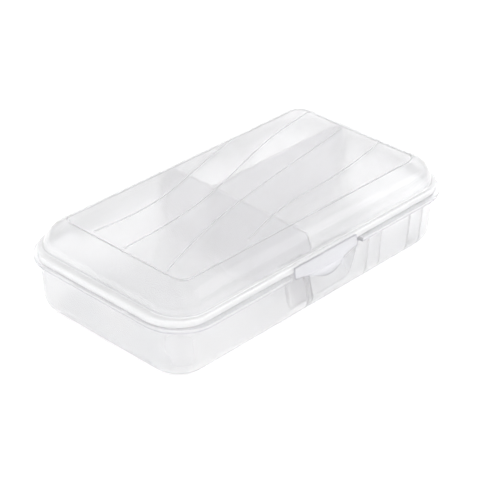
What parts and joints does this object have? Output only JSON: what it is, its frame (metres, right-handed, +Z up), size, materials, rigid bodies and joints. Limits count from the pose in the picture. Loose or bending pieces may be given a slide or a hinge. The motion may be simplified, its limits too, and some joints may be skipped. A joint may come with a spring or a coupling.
{
  "type": "divided storage case",
  "caption": "Rectangular translucent storage case with a hinged clear domed lid, a front latch tab over a finger scoop, and crossing internal dividers.",
  "frame": {"origin": "centre of the flat underside of the base tray, midway between the side walls", "axes": "+X along the length to the right, -Y to the front with the latch tab, +Z up"},
  "size_m": [0.239, 0.1396, 0.057],
  "materials": {
    "frosted_plastic": "frosted translucent polypropylene",
    "clear_plastic": "clear polished moulding",
    "divider_plastic": "frosted translucent polypropylene",
    "pin_steel": "bright drawn wire"
  },
  "bodies": {
    "base": {"base_tray": "frosted_plastic", "cross_divider": "divider_plastic", "long_divider": "divider_plastic", "hinge_pin_left": "pin_steel", "hinge_pin_right": "pin_steel"},
    "lid": {"lid": "clear_plastic"},
    "latch": {"latch_tab": "clear_plastic"}
  },
  "joints": [
    {"name": "lid_hinge", "type": "hinge", "parent": "base", "child": "lid", "pos_m": [0, 0.0684, 0.033], "axis": [-1, 0, 0], "range_deg": [0, 115]},
    {"name": "latch_flex", "type": "hinge", "parent": "lid", "child": "latch", "pos_m": [0, -0.06385, 0.0402], "axis": [-1, 0, 0], "range_deg": [0, 45], "stiffness_Nm_per_rad": 0.02}
  ]
}
